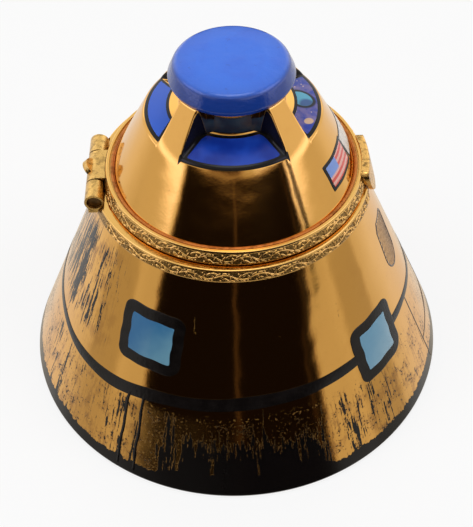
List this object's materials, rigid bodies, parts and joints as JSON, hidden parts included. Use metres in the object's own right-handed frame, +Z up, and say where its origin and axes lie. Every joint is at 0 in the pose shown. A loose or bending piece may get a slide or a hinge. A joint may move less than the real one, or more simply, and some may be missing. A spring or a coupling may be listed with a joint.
{
  "type": "hinged porcelain trinket box in the shape of a space capsule",
  "caption": "Small hinged porcelain box shaped as a space capsule: gilt cone base, domed lid with ribs and a blue cap, brass rims, barrel hinge and clasp.",
  "frame": {"origin": "centre of the foot ring's underside", "axes": "+Z up along the cone's axis, front towards -Y, hinge on -X, clasp on +X"},
  "size_m": [0.0644, 0.0644, 0.0544],
  "materials": {
    "gilt_porcelain": "mirror gilding over glaze, with painted black and blue enamel",
    "gilt_brass": "gilt, engraved with a leaf scroll, polished lips",
    "blue_glaze": "glossy cobalt blue glaze",
    "hinge_brass": "gilt, plain and polished",
    "pin_brass": "darkened"
  },
  "bodies": {
    "base": {"base_shell": "gilt_porcelain", "base_rim": "gilt_brass", "hinge_knuckle_front": "hinge_brass", "hinge_knuckle_rear": "hinge_brass", "hinge_pin": "pin_brass", "catch_stud": "hinge_brass"},
    "lid": {"lid_shell": "gilt_porcelain", "lid_rim": "gilt_brass", "docking_cap": "blue_glaze", "hinge_knuckle_middle": "hinge_brass", "clasp_tongue": "gilt_brass"}
  },
  "joints": [
    {"name": "lid_hinge", "type": "hinge", "parent": "base", "child": "lid", "pos_m": [-0.019, 0, 0.0352], "axis": [0, -1, 0], "range_deg": [0, 97]}
  ]
}
